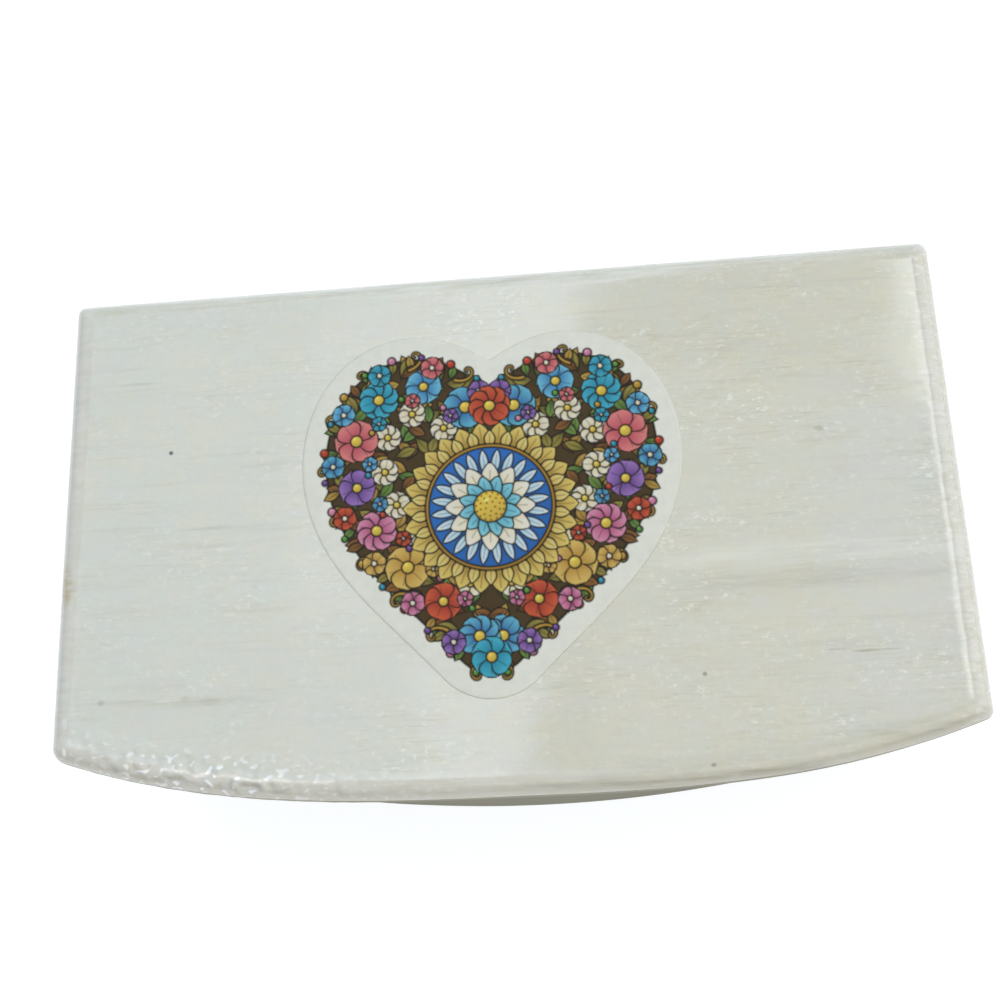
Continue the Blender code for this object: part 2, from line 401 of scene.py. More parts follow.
# How the upper edges are sanded off: how far in, how steeply, and how softly the slope sets in, which
# is softer towards the front
SANDED_REACH = 5.2 * MM
SANDED_SLOPE = 0.08
SANDED_BEND = 1.0 * MM
SOFTER_FORWARD = 0.009

# Where varnish has gathered, with white glints painted on it as painted highlights: how far in from
# the edges, and where along the front edge and the right one
FAT_REACH = 6.5 * MM
FAT_FRONT = 10 * MM
FAT_MIDDLE = -64 * MM
FAT_SPREAD = 26 * MM
FAT_RIGHT = 12 * MM
LUMP_HEIGHT = 0.14 * MM
LUMP_LENGTH = 2.4 * MM

# Where a light cool grey is painted on the edges as painted sheen: how far in from the left and
# front edges, and how far right along the front
SHEEN_REACH = 6 * MM
SHEEN_FADE = 1.8 * MM
SHEEN_RIGHT = 38 * MM
SHEEN_RIGHT_FADE = 30 * MM

# Across, along, half-length and half-width in mm, colour, strength
LID_MARKS_AND_PAINTED_LIGHT = [
    (68, -17.2, 36, 2.6, "#AFA999", 0.45),
    (66, -11.5, 40, 3.0, "#DEDED2", 0.45),
    (-67, -36.8, 17, 1.3, "#BAB49E", 0.6),
    (-78, -33.2, 10, 1.5, "#C2BCA9", 0.5),
    (-88.2, -36.1, 0.8, 0.7, "#A09B80", 0.5),
    (-74.3, -36.4, 1.9, 0.35, "#DDDDD2", 0.3),
    (-69.4, -36.2, 1.0, 0.8, "#B3A98A", 0.3),
    (-64.0, -36.8, 2.4, 1.0, "#B2AC96", 0.6),
    (-84.3, 37.4, 6, 0.35, "#A19C88", 0.45),
    (-61, 1.7, 12, 0.5, "#A9A490", 0.5),
    (69.5, -32.6, 2.6, 0.3, "#A9A18A", 0.6),
    (75.5, -33.1, 3.2, 0.35, "#A39A80", 0.7),
    (80.5, -33.0, 2.1, 0.25, "#A9A18A", 0.5),
    # The next three marks are painted shade: darker grey along the front edge's round
    (84, -49.5, 14, 2.3, "#A7A68E", 0.4),
    (60, -56.5, 16, 1.2, "#A3A28C", 0.6),
    (28, -57.6, 32, 1.8, "#A8A792", 0.5),
    (-98, -9.5, 2.2, 5.0, "#BFB088", 0.9),
    # The next three marks are painted light: lighter strips on the right and back edges' rounds as
    # painted sheen, and a white gleam on the front left corner as a painted highlight
    (97.6, 0, 3.2, 75, "#DAD9D3", 0.9),
    (0, 57.8, 120, 3.0, "#E4E6E0", 0.8),
    (-96.1, -46.2, 0.5, 1.0, "#FFFFFF", 0.9),
    (-74.5, 20.0, 0.55, 0.55, "#3A3A30", 0.95),
    (42.2, -54.9, 0.6, 0.4, "#5A5A50", 0.5),
    (41.9, -36.3, 0.55, 0.5, "#6A675A", 0.6),
    (70.8, 15.8, 1.2, 0.8, "#96936F", 0.4),
]

lid_low, lid_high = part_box("lid")
lid_half = lid_high.x
lid_top = lid_high.z
lid_underside = lid_low.z + RAISED_PANEL


def lid_front(x):
    """Where the lid's bowed front edge lies along Y."""
    return lid_low.y + LID_BOW * abs(x / lid_half) ** LID_BOW_POWER


def front_lean(x):
    """How much longer the way in from the front edge is along Y than square to the edge."""
    slope = LID_BOW_POWER * LID_BOW / lid_half * abs(x / lid_half) ** (LID_BOW_POWER - 1)
    return math.hypot(1, slope)


def lines_across(span, pitch):
    """(way in from the first edge, way in from the last edge, share of the way) of each grid line."""
    turns = [math.pi / 2 * i / ROUNDOVER_STEPS for i in range(ROUNDOVER_STEPS)]
    curve = [LID_ROUNDOVER * (1 - math.cos(turn)) for turn in turns]
    steps = round((span - 2 * LID_ROUNDOVER) / pitch)
    lines = [(way, LID_ROUNDOVER, 0.0) for way in curve]
    lines += [(LID_ROUNDOVER, LID_ROUNDOVER, i / steps) for i in range(steps + 1)]
    lines += [(LID_ROUNDOVER, way, 1.0) for way in reversed(curve)]
    return lines


def round_corner(way_x, way_y, radius):
    """Moves a grid point's ways in from two edges so that the lid's corner is round seen from above."""
    if max(way_x, way_y) >= radius:
        return way_x, way_y
    from_centre = radius - way_x, radius - way_y
    most, least = max(from_centre), min(from_centre)
    turn = math.pi / 4 * least / most
    far, near = most * math.cos(turn), most * math.sin(turn)
    moved = (far, near) if from_centre[0] >= from_centre[1] else (near, far)
    return radius - moved[0], radius - moved[1]


def roundover_drop(way_x, way_y):
    """How far the surface lies below the lid's top. Two edges' rounds run together softly at a corner."""
    way = min(way_x, way_y)
    blend = CORNER_BLEND * way
    if blend:
        way -= max(blend - abs(way_x - way_y), 0) ** 2 / blend / 4
    return LID_ROUNDOVER - math.sqrt(LID_ROUNDOVER**2 - (LID_ROUNDOVER - way) ** 2)


def lid_sheet():
    """The lid's top as rows of points from the front edge to the back one."""
    rows = []
    for way_front, way_back, share_y in lines_across(lid_high.y - lid_low.y, LID_ROW):
        row = []
        for way_left, way_right, share_x in lines_across(2 * lid_half, LID_COLUMN):
            way_x, way_y = min(way_left, way_right), min(way_front, way_back)
            drop = roundover_drop(way_x, way_y)
            sharper = way_right < way_left and way_front < way_back
            new_x, new_y = round_corner(way_x, way_y, LEAST_CORNER if sharper else LID_CORNER)
            left = new_x if way_left < LID_ROUNDOVER else LID_ROUNDOVER
            right = new_x if way_right < LID_ROUNDOVER else LID_ROUNDOVER
            front = new_y if way_front < LID_ROUNDOVER else LID_ROUNDOVER
            back = new_y if way_back < LID_ROUNDOVER else LID_ROUNDOVER
            x = (left - lid_half) * (1 - share_x) + (lid_half - right) * share_x
            first = lid_front(x) + front * front_lean(x)
            last = lid_high.y - back
            row.append((x, first * (1 - share_y) + last * share_y, lid_top - drop))
        rows.append(row)
    return rows


def from_edge(place):
    """How far in a place lies from the lid's nearest edge, seen from above."""
    return max(min(lid_half - abs(place.x), lid_high.y - place.y, place.y - lid_front(place.x)), 0)


def fat_varnish_and_glints(place):
    """How thickly the varnish has gathered in lumps, from 0 to 1, and so how strongly white glints are
    painted on them as painted highlights: most at the front edge's left part.
    """
    near = min(max(1.5 - from_edge(place) / FAT_REACH, 0), 1)
    at_front = place.y < lid_front(place.x) + FAT_FRONT
    pooled = math.exp(-(((place.x - FAT_MIDDLE) / FAT_SPREAD) ** 2)) if at_front else 0
    right = min(max((place.x - lid_half) / FAT_RIGHT + 1, 0), 1)
    return min(near * (0.06 + 0.94 * pooled + 0.3 * right), 1)


def edge_sheen(place):
    """How much light cool grey is painted near the left edge and the front edge's left part, as painted
    sheen, from 0 to 1.
    """
    left, front = place.x + lid_half, place.y - lid_front(place.x)
    way = min(left, front) + 0.8 * MM * noise.noise(place / (5 * MM))
    streaky = 0.75 + 0.5 * noise.noise((place.x / (9 * MM), place.y / (1.2 * MM), 0))
    most = 1 if left < front else min(max((SHEEN_RIGHT - place.x) / SHEEN_RIGHT_FADE, 0.15), 0.8)
    return min(max((SHEEN_REACH - way) / SHEEN_FADE, 0), 1) * most * min(streaky, 1)


def lid_relief(place):
    """Brush marks, edges sanded off to a slight slope, and lumps of varnish along them."""
    bend = SANDED_BEND - SOFTER_FORWARD * place.y
    beyond = SANDED_REACH - from_edge(place)
    bent = min(max(beyond + bend, 0), 2 * bend) ** 2 / (4 * bend)
    sanded = SANDED_SLOPE * (bent + max(beyond - bend, 0))
    flat = min(max((place.z - lid_top) / LID_ROUNDOVER + 1, 0), 1)
    lumps = LUMP_HEIGHT * fat_varnish_and_glints(place) * max(noise.noise(place / LUMP_LENGTH), -0.3)
    return brushed_relief(place, "X") + lumps - sanded * flat


def make_lid():
    """The top sheet, and below its rim the rings of the side, the rebate and the raised panel."""
    sheet = lid_sheet()
    columns = len(sheet[0])
    points = [point for row in sheet for point in row]
    faces, finish_numbers = [], []
    for row in range(len(sheet) - 1):
        for column in range(columns - 1):
            first = row * columns + column
            faces.append((first, first + 1, first + columns + 1, first + columns))
            finish_numbers.append(SIDE if row < SIDE_ROWS_ABOVE else VARNISHED)
    rim = list(range(columns - 1))
    rim += [row * columns + columns - 1 for row in range(len(sheet) - 1)]
    rim += [(len(sheet) - 1) * columns + column for column in range(columns - 1, 0, -1)]
    rim += [row * columns for row in range(len(sheet) - 1, 0, -1)]
    edge = [points[i][:2] for i in rim]
    side_top, side_foot = lid_top - LID_ROUNDOVER, lid_underside + LID_EASE
    row_height = (side_top - side_foot) / LID_SIDE_ROWS
    levels = [(0, side_top - row_height * i) for i in range(1, LID_SIDE_ROWS + 1)]
    for step in range(1, EASE_STEPS + 1):
        turn = math.pi / 2 * step / EASE_STEPS
        levels.append((LID_EASE * (1 - math.cos(turn)), lid_underside + LID_EASE * (1 - math.sin(turn))))
    levels.append((LID_EASE + CAP_MARGIN, lid_underside))
    rings = [[(*point, height) for point in moved_in(edge, inset)] for inset, height in levels]
    panel_half = body_half - wall - PANEL_CLEARANCE
    panel_back = back_low.y - PANEL_CLEARANCE

    def raised_panel(x, y, inset):
        """The place on the raised panel's outline that belongs to a place on the lid's edge."""
        new_x = x / lid_half * (panel_half - inset)
        front = front_face(new_x, wall + PANEL_CLEARANCE) + inset
        share = (y - lid_front(x)) / (lid_high.y - lid_front(x))
        return new_x, front + (panel_back - inset - front) * min(max(share, 0), 1)

    foot = lid_low.z
    steps = [(0, lid_underside), (0, foot + BOARD_EASE), (BOARD_EASE, foot)]
    steps.append((BOARD_EASE + CAP_MARGIN, foot))
    rings += [[(*raised_panel(x, y, inset), height) for x, y in edge] for inset, height in steps]
    upper = rim
    for number, ring in enumerate(rings):
        lower = list(range(len(points), len(points) + len(ring)))
        points += ring
        faces += band(lower, upper)
        finish_numbers += [BARE if number > LID_SIDE_ROWS + EASE_STEPS else SIDE] * len(ring)
        upper = lower
    faces.append(tuple(reversed(upper)))
    finish_numbers.append(BARE)
    washed = whitewashed_basswood("whitewashed lid with painted light", "X", marks=LID_MARKS_AND_PAINTED_LIGHT, lumps=True)
    # The side's paint is darkened as painted shade, and matt
    side = whitewashed_basswood("unvarnished lid side, darkened as painted shade", "X", SIDE_SHADED_WHITENESS, 0.0)
    finishes = [washed, bare_basswood("bare lid", "X"), side]
    lid = skinned("lid_board", points, faces, finish_numbers, finishes, lid_relief, "lid")
    # This attribute carries the varnish lumps and the painted highlights on them
    layer = lid.data.attributes.new("fat_and_glints", "FLOAT", "POINT")
    layer.data.foreach_set("value", [fat_varnish_and_glints(vertex.co) for vertex in lid.data.vertices])
    # The edge attribute carries the painted sheen on the left and front edges
    layer = lid.data.attributes.new("edge", "FLOAT", "POINT")
    layer.data.foreach_set("value", [edge_sheen(vertex.co) for vertex in lid.data.vertices])


make_lid()

# Heart film and its print. Thin white film cut to a heart, stuck on the lid and varnished over, so
# that its edge is a soft step. The print leaves a plain border. Its design is a generic one: a round
# sunburst flower among mirrored flowers, leaves, berries and curls.

# Sizes of the heart and its print, in mm
CORE_WIDTH = 56.4
CORE_HEIGHT = 54.5
FILM_GROWTH = 14.2
PRINT_GROWTH = 11.7
GROUND_GROWTH = 9.0
GROUND_LINE = 0.5
HALF_PAGE = 45
HEART_MIDDLE = (-1.7, 2.1)
HEART_TILT = math.radians(-1.5)
FILM_RISE = 0.18
FILM_SINK = 0.12
SHOULDER = 1.0
SHOULDER_STEPS = 3
CORE_STEPS = 160
TIP_STEPS = 24
RIM_PITCH = 0.6
INK_PITCH = 0.265
OUTLINE = 0.42
SOFTNESS = 0.3

# How much of each colour's light the ink gives back
INK_STRENGTH = 0.77

BORDER = "#D7D7CB"
INK = "#221B10"
GROUND = "#4E3D1F"
BLOOMS = [
    ("#23529A", "#6FC1D8"),
    ("#A83A6B", "#E39BB5"),
    ("#1C7F9C", "#4DB9CF"),
    ("#9A2F22", "#D9643F"),
    ("#5A3A7F", "#A67FC4"),
    ("#1F6DA8", "#7FCBE6"),
    ("#B5832F", "#E3C36B"),
    ("#B8405A", "#E88E86"),
]
LEAVES = [("#3C5A28", "#7FA04C"), ("#6B6428", "#A89A4A"), ("#8A6A28", "#CDA850"), ("#5A3A1C", "#9A6A34")]
BERRIES = ["#2E9DB5", "#C8472B", "#7A4F9E", "#D98AA8", "#5B9F3A", "#C49A3C"]


def tone(code):
    """A hex colour as linear red, green and blue."""
    return np.array(linear(code)[:3])


def toward(angle):
    """The unit step along an angle."""
    return np.array((math.cos(angle), math.sin(angle)))


def heart_half(growth):
    """The right half of the heart grown by so many mm, from notch to tip: x, y and outward angle."""
    turn = (np.arange(CORE_STEPS) + 0.5) / CORE_STEPS * math.pi
    x = CORE_WIDTH / 2 * np.sin(turn) ** 2
    # The waves add up to -17 at the tip and to 12 at the top, which is 29 round a middle of -2.5
    rise = sum(wave * np.cos(n * turn) for n, wave in enumerate((13, -5, -2, -1), 1))
    y = (rise + 2.5) * CORE_HEIGHT / 29
    out = np.arctan2(np.gradient(x), -np.gradient(y))
    bend = np.linspace(out[-1], -math.pi / 2, TIP_STEPS)
    x, y = np.append(x, np.zeros(TIP_STEPS)), np.append(y, np.full(TIP_STEPS, y[-1]))
    out = np.append(out, bend)
    half = np.stack([x + growth * np.cos(out), y + growth * np.sin(out), out], 1)
    return half[half[:, 0] > 0]


def growth_of(places):
    """How far places lie outside the heart's core, in mm; below zero inside it."""
    core = heart_half(0)[:, :2]
    aside = np.stack([np.abs(places[:, 0]), places[:, 1]], 1)
    nearest = np.full(len(places), 1e9)
    inside = np.zeros(len(places), bool)
    for start, end in zip(core, core[1:]):
        way = end - start
        share = np.clip((aside - start) @ way / max(way @ way, 1e-9), 0, 1)
        nearest = np.minimum(nearest, np.hypot(*(aside - start - share[:, None] * way).T))
        crossed = (start[1] > aside[:, 1]) != (end[1] > aside[:, 1])
        if crossed.any():
            meets = start[0] + (aside[:, 1] - start[1]) / (end[1] - start[1]) * way[0]
            inside ^= crossed & (meets > aside[:, 0])
    return np.where(inside, -nearest, nearest)


def both_sides(growth, count, shift=0.5):
    """Even places round the grown heart, in mirrored pairs: number, place, outward angle and hand."""
    half = heart_half(growth)
    way = np.append(0, np.cumsum(np.hypot(*np.diff(half[:, :2], axis=0).T)))
    at = (np.arange(count) + shift) / count * way[-1]
    stations = [np.interp(at, way, half[:, i]) for i in range(3)]
    for number, (x, y, out) in enumerate(zip(*stations)):
        yield number, np.array((x, y)), out, 1
        yield number, np.array((-x, y)), math.pi - out, -1


def seen_from(page, middle, angle, reach):
    """The page's points near a place, and how far they lie from it along an angle and across it."""
    offset = page["places"] - middle
    near = np.flatnonzero((np.abs(offset) < reach).all(1))
    along = offset[near] @ (math.cos(angle), math.sin(angle))
    across = offset[near] @ (-math.sin(angle), math.cos(angle))
    return near, along, across


def lay(page, near, distance, colour):
    """Inks the points inside a shape, softly across its edge. The distance is below zero inside."""
    cover = np.clip(0.5 - distance / SOFTNESS, 0, 1)[:, None]
    page["ink"][near] += (colour * INK_STRENGTH - page["ink"][near]) * cover


def petal(page, foot, angle, length, width, colours, rib=0.2, blunt=1.0):
    """A petal or leaf from its foot outwards, outlined, shaded from foot to tip, with a rib."""
    near, along, across = seen_from(page, foot, angle, length + 1)
    share = np.clip(along / length, 0, 1)
    half = width / 2 * np.sin(math.pi * share**1.2) ** blunt
    distance = np.maximum(np.abs(across) - half, np.maximum(-along, along - length))
    foot_colour, tip_colour = tone(colours[0]), tone(colours[1])
    lay(page, near, distance, tone(INK))
    lay(page, near, distance + OUTLINE, foot_colour + (tip_colour - foot_colour) * share[:, None])
    vein = np.maximum(np.abs(across) - rib / 2, np.maximum(0.1 * length - along, along - 0.8 * length))
    lay(page, near, vein, (foot_colour + tip_colour) * 0.18)


def disc(page, middle, radius, colour, shade=0.35):
    """An outlined ball, lit from the upper left, with a small gleam."""
    near, along, across = seen_from(page, middle, math.radians(120), radius + 1)
    distance = np.hypot(along, across) - radius
    lay(page, near, distance, tone(INK))
    lit = np.clip(tone(colour) * (1 + shade * along[:, None] / radius), 0, 1)
    lay(page, near, distance + OUTLINE, lit)
    gleam = np.hypot(along - 0.45 * radius, across) - min(0.16 * radius, 0.5)
    lay(page, near, gleam, np.minimum(tone(colour) * 1.5 + 0.12, 0.9))


def flower(page, middle, radius, petals, turn, colours, centre="#E3C34F"):
    """Broad petals round a ball."""
    width = 2.5 * radius * math.sin(math.pi / petals)
    for i in range(petals):
        petal(page, middle, turn + 2 * math.pi * i / petals, radius, width, colours, 0.16, 0.6)
    disc(page, middle, 0.3 * radius, centre)


def curl(page, start, angle, size, hand, colour):
    """A thin stem that winds up at its end."""
    line = [start]
    for i in range(30):
        angle += hand * (0.06 + 0.011 * i)
        line.append(line[-1] + size * (0.1 - i / 360) * toward(angle))
    near, *_ = seen_from(page, line[15], 0, size + 1)
    points = page["places"][near]
    nearest = np.full(len(points), 1e9)
    for i, (begin, end) in enumerate(zip(line, line[1:])):
        way = end - begin
        share = np.clip((points - begin) @ way / (way @ way), 0, 1)
        away = np.hypot(*(points - begin - share[:, None] * way).T)
        nearest = np.minimum(nearest, away - 0.45 + i / 130)
    lay(page, near, nearest - OUTLINE / 2, tone(INK))
    lay(page, near, nearest + OUTLINE / 2, tone(colour))


def leaf_row(page, growth, count, turned, lean, length, width, first):
    """Leaves round the heart at a growth, leaning in turn to one side and the other."""
    for number, place, out, hand in both_sides(growth, count):
        angle = out + hand * (turned + lean * (1 if number % 2 else -1))
        petal(page, place, angle, length - number % 3 * 0.5, width, LEAVES[(number * 3 + first) % 4])


def petal_rings(page, middle, rings, turned, rib=0.2, blunt=1.0):
    """Rings of petals, the outermost first. Every other ring is turned by half a petal.

    A ring is its number of petals, how far out their feet are, their length, width and colours. The
    first ring is a turned one where turned is 1.
    """
    for number, (count, foot, length, width, colours) in enumerate(rings, turned):
        for i in range(count):
            angle = 2 * math.pi * (i + number % 2 / 2) / count
            petal(page, middle + foot * toward(angle), angle, length, width, colours, rib, blunt)


def sunburst(page, middle):
    """The round flower in the print's middle, from its outermost petals inwards."""
    rays = [
        (26, 13.5, 6.2, 4.2, ("#B98E35", "#E8D275")),
        (26, 12.5, 5.4, 2.9, ("#C49A3C", "#F0E08E")),
    ]
    petal_rings(page, middle, rays, 0)
    disc(page, middle, 14.6, "#B98E35", 0.12)
    disc(page, middle, 13.8, "#2F6DB8", 0.1)
    inner_petals = [
        (24, 6.2, 7.1, 2.4, ("#8FCBE6", "#E9F2F2")),
        (12, 0, 10.2, 4.8, ("#E2D08E", "#F3EFE0")),
        (12, 0, 7.2, 3.6, ("#2E9DB5", "#8FD3E0")),
    ]
    petal_rings(page, middle, inner_petals, 1, 0.18, 0.65)
    disc(page, middle, 3.8, "#E3C34F", 0.2)
    for ring, seeds in ((1.1, 5), (2.2, 10), (3.1, 15)):
        for i in range(seeds):
            angle = 2 * math.pi * i / seeds + ring
            near, along, across = seen_from(page, middle + ring * toward(angle), 0, 1)
            lay(page, near, np.hypot(along, across) - 0.22, tone("#7A4A22"))


def printed(places):
    """The print's colour at each place, painted from the lowest layer up."""
    growth = growth_of(places)
    page = {"places": places, "ink": np.tile(tone(BORDER), (len(places), 1))}
    everywhere = np.arange(len(places))
    lay(page, everywhere, growth - GROUND_GROWTH, tone(INK))
    lay(page, everywhere, growth - GROUND_GROWTH + GROUND_LINE, tone(GROUND))
    leaf_row(page, 3.9, 33, 0, 0.5, 7.0, 2.9, 0)
    leaf_row(page, 5.6, 24, 0, 0.25, 5.0, 2.4, 2)
    leaf_row(page, 4.5, 20, math.pi / 2, 0.4, 6.0, 2.9, 3)
    leaf_row(page, 0.5, 20, math.pi / 2, 0.5, 6.0, 2.9, 1)
    leaf_row(page, -4.5, 18, math.pi / 2, 0.5, 6.0, 2.9, 2)
    leaf_row(page, -9.5, 14, math.pi / 2, 0.5, 6.0, 2.9, 0)
    leaf_row(page, -1.0, 22, math.pi, 0.45, 5.6, 2.8, 0)
    leaf_row(page, -6.5, 16, math.pi, 0.4, 5.8, 2.8, 3)
    for _, place, out, hand in both_sides(6.3, 10, 0.9):
        curl(page, place, out + hand * 1.3, 4.4, -hand, "#C49A3C")
    for number, place, *_ in both_sides(9.3, 17):
        disc(page, place, 1.15 if number % 2 else 0.9, BERRIES[number % 6])
    for number, place, _, hand in both_sides(-4.4, 9, 0.25):
        flower(page, place, 3.3, 7, hand * number, ("#DCCB96", "#F2EEDD"))
    for number, place, _, hand in both_sides(2.4, 9, 0.72):
        kind = number % 3
        flower(page, place, (5.2, 4.3, 4.8)[kind], (6, 5, 8)[kind], hand * number, BLOOMS[number * 5 % 8])
    for number, place, _, hand in both_sides(7.2, 9, 0.2):
        flower(page, place, 2.8, 5, hand * number * 0.7, BLOOMS[(number * 3 + 4) % 8], "#EFE6C8")
    for number, place, out, hand in both_sides(-1.2, 9, 0.2):
        flower(page, place, 1.9, 5, hand * number, BLOOMS[(number * 3 + 1) % 8], "#EFE6C8")
        disc(page, place + 2.6 * toward(out + 1.4), 0.9, BERRIES[(number + 2) % 6])
    flower(page, (0, 24.0), 5.0, 8, 0.2, BLOOMS[3])
    flower(page, (0, -32.6), 4.6, 6, 0.5, BLOOMS[2])
    sunburst(page, np.array((0.0, 0.6)))
    return page["ink"]


def lattice(pitch, most):
    """Points in a triangular grid, a pitch apart, inside the heart of a growth."""
    rows = []
    for number, y in enumerate(np.arange(-HALF_PAGE, HALF_PAGE, pitch * 0.866)):
        x = np.arange(-HALF_PAGE, HALF_PAGE, pitch) + (pitch / 2 if number % 2 else 0)
        rows.append(np.stack([x, np.full(len(x), y)], 1))
    grid = np.concatenate(rows)
    return grid[growth_of(grid) < most]


def printed_film(name):
    """White film with an inkjet print under clear varnish: full colours with a smooth gloss."""
    made = bpy.data.materials.new(name)
    made.use_nodes = True
    tree = made.node_tree
    shader = tree.nodes["Principled BSDF"]
    ink = add(tree, "ShaderNodeVertexColor", {"layer_name": "ink"})
    place = add(tree, "ShaderNodeTexCoord").outputs["Object"]
    wanted = {"Vector": place, "Scale": 1 / (2.222 * MM), "Detail": 3.0}
    clouds = add(tree, "ShaderNodeTexNoise", None, wanted).outputs["Fac"]
    spread = {"Value": clouds, "From Min": 0.3, "From Max": 0.7, "To Min": 0.96, "To Max": 1.03}
    shade = add(tree, "ShaderNodeMapRange", None, spread).outputs["Result"]
    wanted = {0: ink.outputs["Color"], "Scale": shade}
    shaded = add(tree, "ShaderNodeVectorMath", {"operation": "SCALE"}, wanted)
    tree.links.new(shaded.outputs["Vector"], shader.inputs["Base Color"])
    wanted = {"Vector": place, "Scale": 1 / (1.111 * MM), "Detail": 2.0}
    brushed = add(tree, "ShaderNodeTexNoise", None, wanted)
    height = {"Height": brushed.outputs["Fac"], "Strength": 0.15, "Distance": 0.04 * MM}
    bump = add(tree, "ShaderNodeBump", None, height)
    tree.links.new(bump.outputs["Normal"], shader.inputs["Normal"])
    shader.inputs["Roughness"].default_value = 0.5
    shader.inputs["Specular IOR Level"].default_value = 0.15
    return made


def film_relief(place):
    """The film follows the board's broad hollows, and its varnish is a little uneven."""
    return (0.05 * noise.noise(place / (17 * MM)) + 0.01 * noise.noise(place / (2.4 * MM))) * MM


def heart_outline(growth, pitch):
    """The whole grown heart, anticlockwise from its tip, with points an even pitch apart."""
    right = heart_half(growth)[:, :2]
    right[0, 0] = right[-1, 0] = 0
    way = np.append(0, np.cumsum(np.hypot(*np.diff(right, axis=0).T)))
    at = np.linspace(way[-1], 0, round(way[-1] / pitch))
    even = np.stack([np.interp(at, way, right[:, i]) for i in (0, 1)], 1)
    return np.concatenate([even, even[-2:0:-1] * (-1, 1)])


def make_heart_film():
    """The printed sheet, and below its rim the rings of the soft edge and the hidden foot."""
    outer = heart_outline(FILM_GROWTH, RIM_PITCH)
    rim = moved_in(outer, SHOULDER)
    flat = np.concatenate([rim, lattice(INK_PITCH, PRINT_GROWTH)])
    edges = [(i, (i + 1) % len(rim)) for i in range(len(rim))]
    sheet = delaunay_2d_cdt([Vector(point) for point in flat], edges, [], 1, 1e-4)
    faces = [tuple(face) for face in sheet[2]]
    ink = np.concatenate([printed(flat), np.tile(tone(BORDER), (len(rim) * (SHOULDER_STEPS + 3), 1))])
    points = [(x, y, FILM_RISE) for x, y in flat]
    levels = []
    for step in range(1, SHOULDER_STEPS + 1):
        turn = math.pi / 2 * step / SHOULDER_STEPS
        levels.append((SHOULDER * (1 - math.sin(turn)), FILM_RISE * (0.3 + 0.7 * math.cos(turn))))
    levels += [(0, 0), (0, -FILM_SINK), (SHOULDER / 2, -FILM_SINK)]
    upper = list(range(len(rim)))
    for inset, height in levels:
        lower = list(range(len(points), len(points) + len(rim)))
        points += [(x, y, height) for x, y in moved_in(outer, inset)]
        faces += band(lower, upper)
        upper = lower
    faces.append(tuple(reversed(upper)))
    turned, aside = math.cos(HEART_TILT), math.sin(HEART_TILT)
    placed = []
    for x, y, z in points:
        across = HEART_MIDDLE[0] + turned * x - aside * y
        along = HEART_MIDDLE[1] + aside * x + turned * y
        placed.append((across * MM, along * MM, lid_top + z * MM))
    finishes = [printed_film("printed heart film")]
    numbers = [0] * len(faces)
    film = skinned(
        "heart_film", placed, faces, numbers, finishes, film_relief, "heart_decal"
    )
    layer = film.data.color_attributes.new("ink", "FLOAT_COLOR", "POINT")
    layer.data.foreach_set("color", np.concatenate([ink, np.ones((len(ink), 1))], 1).ravel())


make_heart_film()

# Floor, light and camera. A white floor that glows a little, as a lit table does. A pale sky, dimmer
# in front where the photographer stands, and soft windows overhead, which the varnish reflects on the
# lid's left half, its far right and its edges. The camera is almost straight above the front edge.

FLOOR_REACH = 1.5
CEILING = 1.086
BOX_MIDDLE = (0, 0, 0.08)
CAMERA_PLACE = Vector((0.0225, -0.0681, 0.3431))
CAMERA_AIM = Vector((0.0005, 0.0040, 0.0856))
CAMERA_ROLL = math.radians(-19.9)
CAMERA_LENS = 43.9

floor_mesh = bpy.data.meshes.new("floor")
floor_corners = [(x * FLOOR_REACH, y * FLOOR_REACH, 0) for x, y in ((-1, -1), (1, -1), (1, 1), (-1, 1))]
floor_mesh.from_pydata(floor_corners, [], [(0, 1, 2, 3)])
floor = bpy.data.objects.new("floor", floor_mesh)
bpy.context.scene.collection.objects.link(floor)
white = bpy.data.materials.new("glowing white floor")
white.use_nodes = True
white_inputs = white.node_tree.nodes["Principled BSDF"].inputs
white_inputs["Base Color"].default_value = (0.35, 0.35, 0.35, 1)
white_inputs["Roughness"].default_value = 0.9
white_inputs["Specular IOR Level"].default_value = 0.1
white_inputs["Emission Color"].default_value = (0.94, 0.97, 1, 1)
white_inputs["Emission Strength"].default_value = 0.84
floor_mesh.materials.append(white)

world = bpy.data.worlds.new("studio")
bpy.context.scene.world = world
world.use_nodes = True
sky = world.node_tree
way = add(sky, "ShaderNodeTexCoord").outputs["Generated"]
parts_of_way = add(sky, "ShaderNodeSeparateXYZ", None, {"Vector": way})
forward = parts_of_way.outputs["Y"]
dimming = {"Value": forward, "From Min": -0.85, "From Max": -0.05, "To Min": 0.10, "To Max": 0.388}
brightness = add(sky, "ShaderNodeMapRange", None, dimming)
sky.links.new(brightness.outputs["Result"], sky.nodes["Background"].inputs["Strength"])
upward = {"Value": parts_of_way.outputs["Z"], "From Min": 0.1, "From Max": 0.7}
warmth = add(sky, "ShaderNodeMapRange", None, upward)
ends = {0: warmth.outputs["Result"], 6: (0.92, 0.96, 1.0, 1), 7: (1, 0.9, 0.76, 1)}
tint = add(sky, "ShaderNodeMix", {"data_type": "RGBA"}, ends)
sky.links.new(tint.outputs[2], sky.nodes["Background"].inputs["Color"])


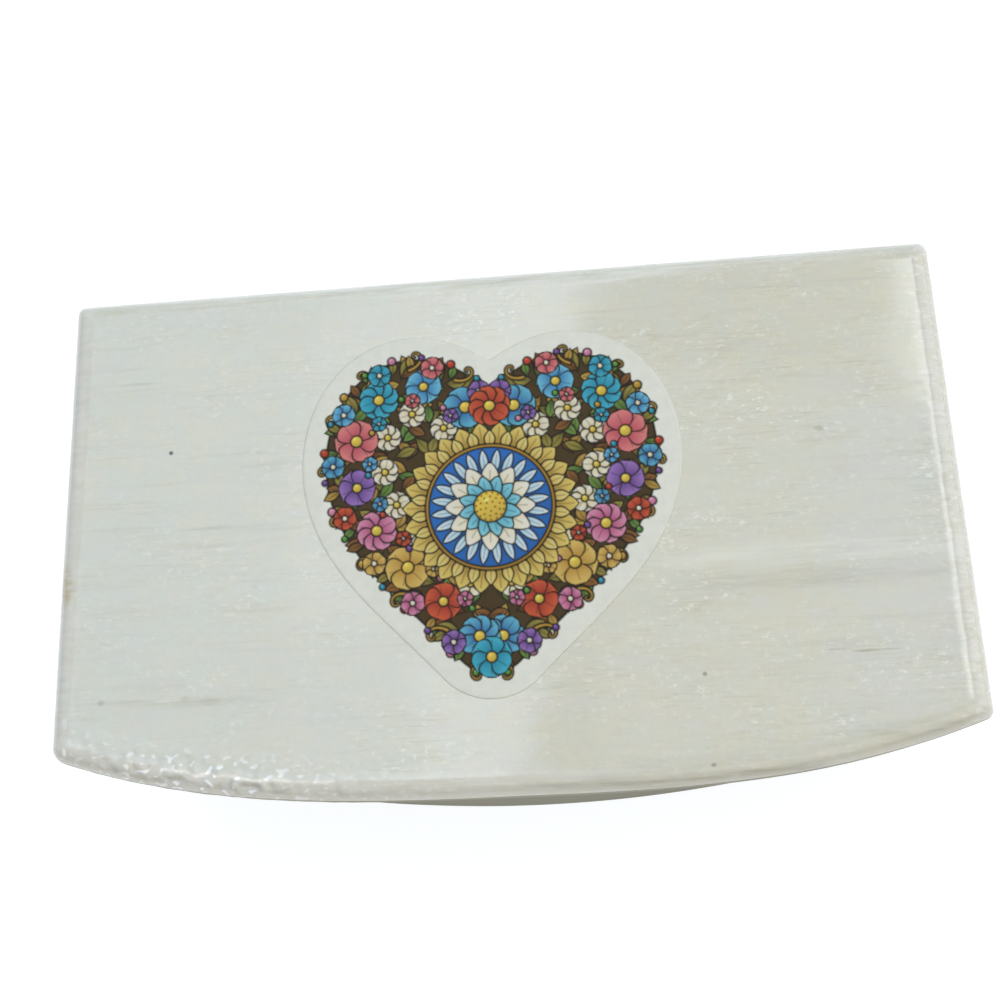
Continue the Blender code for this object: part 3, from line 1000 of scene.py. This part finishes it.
def window(name, place, turn, size, radiance, aim=None):
    """A rectangular light of even radiance, red, green and blue. It faces straight down, or an aim."""
    data = bpy.data.lights.new(name, "AREA")
    data.shape = "RECTANGLE"
    data.size, data.size_y = size
    data.energy = max(radiance) * math.pi * size[0] * size[1]
    data.color = [share / max(radiance) for share in radiance]
    light = bpy.data.objects.new(name, data)
    bpy.context.scene.collection.objects.link(light)
    light.location = place
    light.rotation_mode = "QUATERNION"
    facing = (Vector(aim or (*place[:2], 0)) - Vector(place)).to_track_quat("-Z", "Y")
    light.rotation_quaternion = Quaternion((0, 0, 1), math.radians(turn)) @ facing


window("bright window", (-0.0625, 0.46, CEILING), -9.5, (0.155, 0.605), (2.6, 3.0, 3.6))
window("middle window", (-0.2145, 0.46, CEILING), -9.5, (0.149, 0.605), (1.9, 2.3, 2.9))
window("bright near window", (-0.128, -0.015, CEILING), -9, (0.12, 0.345), (2.5, 2.9, 3.5))
window("dim window", (-0.472, 0.337, CEILING), -9, (0.32, 0.95), (1.1, 1.6, 2.2))
window("dim near window", (-0.274, -0.015, CEILING), -9, (0.172, 0.345), (1.1, 1.6, 2.2))
window("far window", (0.34, 0.15, CEILING), -4, (0.20, 0.44), (0.45, 0.75, 1.4))
window("grey window", (0.13, 0.2, CEILING), -4, (0.24, 0.42), (0.75, 0.8, 0.75))
window("narrow right window", (0.455, 0.34, CEILING), 0, (0.2, 0.62), (4.4, 4.6, 4.6))
window("right panel", (1.4, 0.2, 0.9), 0, (1.4, 1.4), (1.25, 1.25, 1.2), BOX_MIDDLE)
window("back window", (-0.35, 0.82, CEILING), 0, (1.0, 0.36), (0.8, 1.0, 1.2))
window("soft front window", (0.35, -0.7, 0.8), 0, (1.0, 0.8), (1.05, 0.98, 0.9), BOX_MIDDLE)
window("front window", (-0.42, -0.27, CEILING), 0, (0.2, 0.2), (5, 5, 5))

camera_data = bpy.data.cameras.new("camera")
camera = bpy.data.objects.new("camera", camera_data)
bpy.context.scene.collection.objects.link(camera)
camera_data.lens = CAMERA_LENS
camera_data.sensor_width = 36
camera_data.clip_start = 0.01
camera.location = CAMERA_PLACE
camera.rotation_mode = "QUATERNION"
level = (CAMERA_AIM - CAMERA_PLACE).to_track_quat("-Z", "Y")
camera.rotation_quaternion = level @ Quaternion((0, 0, 1), CAMERA_ROLL)
bpy.context.scene.camera = camera
bpy.context.scene.view_settings.view_transform = "Standard"
